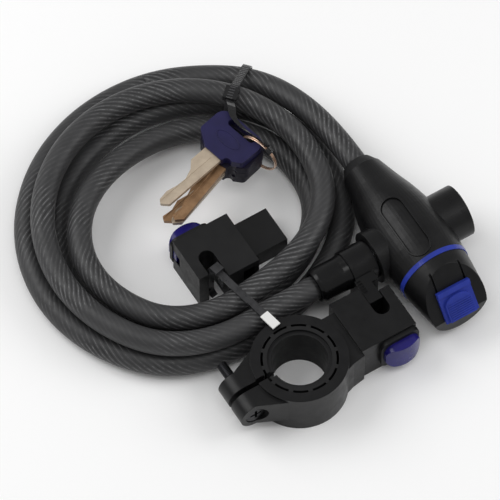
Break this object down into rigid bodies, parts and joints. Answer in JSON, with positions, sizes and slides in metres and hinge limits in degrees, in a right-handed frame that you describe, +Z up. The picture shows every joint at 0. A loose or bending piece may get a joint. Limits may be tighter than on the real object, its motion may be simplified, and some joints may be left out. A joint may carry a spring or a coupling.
{
  "type": "bicycle cable lock",
  "caption": "Coiled covered steel cable with a barrel key lock, a tube clamp bracket, a flat-plate bracket and keys on a ring.",
  "frame": {"origin": "the clamp bore's axis where it meets the floor that the lock lies on", "axes": "+Z up along the clamp bore; +X along the lock's cross tube, from the plug into the head; -Y from the head towards its keyhole"},
  "size_m": [0.1965, 0.2087, 0.041],
  "materials": {
    "vinyl": "smoked clear vinyl over stranded wire",
    "black": "moulded, satin",
    "blue": "moulded, gloss",
    "navy": "moulded, gloss",
    "rubber": "matte",
    "nylon": "nylon",
    "steel": "machined",
    "dark_steel": "black oxide",
    "brass": "machined",
    "ring_wire": "bright, warm",
    "key_nickel": "nickel plated",
    "key_bronze": "nickel over brass, warm"
  },
  "bodies": {
    "cable": {"cable_coil": "vinyl", "cable_lead_plug": "vinyl", "plug_sleeve": "black", "plug_pin": "steel", "plug_clip": "black", "base_body": "black", "base_spring": "steel", "base_frame": "black", "coil_tie": "nylon", "base_tie": "nylon"},
    "lock_head": {"cable_lead_head": "vinyl", "head_body": "black", "socket_liner": "steel", "head_ring": "blue", "head_cap": "black", "badge_plate": "black", "cylinder_shell": "steel", "bolt_spring": "steel", "cable_anchor": "steel", "anchor_pin": "steel", "rear_boot": "rubber"},
    "cover": {"keyhole_cover": "blue"},
    "rotor": {"cylinder_rotor": "brass", "wafers": "brass", "rotor_cam": "steel", "rotor_clip": "steel"},
    "bolt": {"lock_bolt": "steel"},
    "bracket": {"clamp_body": "black", "clamp_shim": "rubber", "clamp_screw": "dark_steel", "clamp_nut": "steel", "release_spring": "steel", "button_frame": "black"},
    "bracket_button": {"release_button": "navy"},
    "bracket_latch": {"release_latch": "steel"},
    "base_button": {"base_button": "navy"},
    "base_latch": {"base_latch": "steel"},
    "key_ring": {"key_ring": "ring_wire"},
    "key_1": {"key_bow_1": "navy", "key_blade_1": "key_nickel"},
    "key_2": {"key_bow_2": "navy", "key_blade_2": "key_bronze"},
    "key_3": {"key_bow_3": "navy", "key_blade_3": "key_nickel"},
    "key_4": {"key_bow_4": "navy", "key_blade_4": "key_bronze"}
  },
  "joints": [
    {"name": "head_pull", "type": "slide", "parent": "cable", "child": "lock_head", "axis": [1, 0, 0], "range_m": [0, 0.024]},
    {"name": "cover_slide", "type": "slide", "parent": "lock_head", "child": "cover", "axis": [0, 0.6401, 0.7683], "range_m": [0, 0.011]},
    {"name": "key_turn", "type": "hinge", "parent": "lock_head", "child": "rotor", "pos_m": [0.0814, 0.032, 0.0198], "axis": [0, -1, 0], "range_deg": [0, 90]},
    {"name": "bolt_throw", "type": "slide", "parent": "lock_head", "child": "bolt", "axis": [0, 1, 0], "range_m": [0, 0.0023], "deforming": ["bolt_spring"]},
    {"name": "bracket_release", "type": "slide", "parent": "cable", "child": "bracket", "axis": [0, -1, 0], "range_m": [0, 0.016]},
    {"name": "bracket_button_press", "type": "slide", "parent": "bracket", "child": "bracket_button", "axis": [0, 1, 0], "range_m": [0, 0.003], "stiffness_N_per_m": 1500, "springref_m": -0.001, "deforming": ["release_spring"]},
    {"name": "bracket_latch_draw", "type": "slide", "parent": "bracket", "child": "bracket_latch", "axis": [-1, 0, 0], "range_m": [0, 0.0015]},
    {"name": "base_button_press", "type": "slide", "parent": "cable", "child": "base_button", "axis": [0, -1, 0], "range_m": [0, 0.003], "stiffness_N_per_m": 1500, "springref_m": -0.001, "deforming": ["base_spring"]},
    {"name": "base_latch_draw", "type": "slide", "parent": "cable", "child": "base_latch", "axis": [1, 0, 0], "range_m": [0, 0.0015]},
    {"name": "key_ring_swing", "type": "hinge", "parent": "cable", "child": "key_ring", "pos_m": [0.04479, 0.10131, 0.03397], "axis": [-0.2851, 0.7682, 0.5732], "range_deg": [0, 20]},
    {"name": "key_1_turn", "type": "hinge", "parent": "key_ring", "child": "key_1", "pos_m": [0.04075, 0.11148, 0.0324], "axis": [-0.0085, -0.0018, 1], "range_deg": [-2, 4]},
    {"name": "key_2_turn", "type": "hinge", "parent": "key_ring", "child": "key_2", "pos_m": [0.04125, 0.11164, 0.02771], "axis": [-0.0085, -0.0018, 1], "range_deg": [-2, 4]},
    {"name": "key_3_turn", "type": "hinge", "parent": "key_ring", "child": "key_3", "pos_m": [0.04122, 0.11162, 0.02301], "axis": [-0.0085, -0.0018, 1], "range_deg": [-2, 4]},
    {"name": "key_4_turn", "type": "hinge", "parent": "key_ring", "child": "key_4", "pos_m": [0.04097, 0.11153, 0.0183], "axis": [-0.0085, -0.0018, 1], "range_deg": [-2, 4]}
  ],
  "couplings": [
    {"joint": "key_turn", "follows": "bolt_throw", "rad_per_m": 682.95},
    {"joint": "bracket_latch_draw", "follows": "bracket_button_press", "ratio": 0.4667},
    {"joint": "base_latch_draw", "follows": "base_button_press", "ratio": 0.4667}
  ]
}
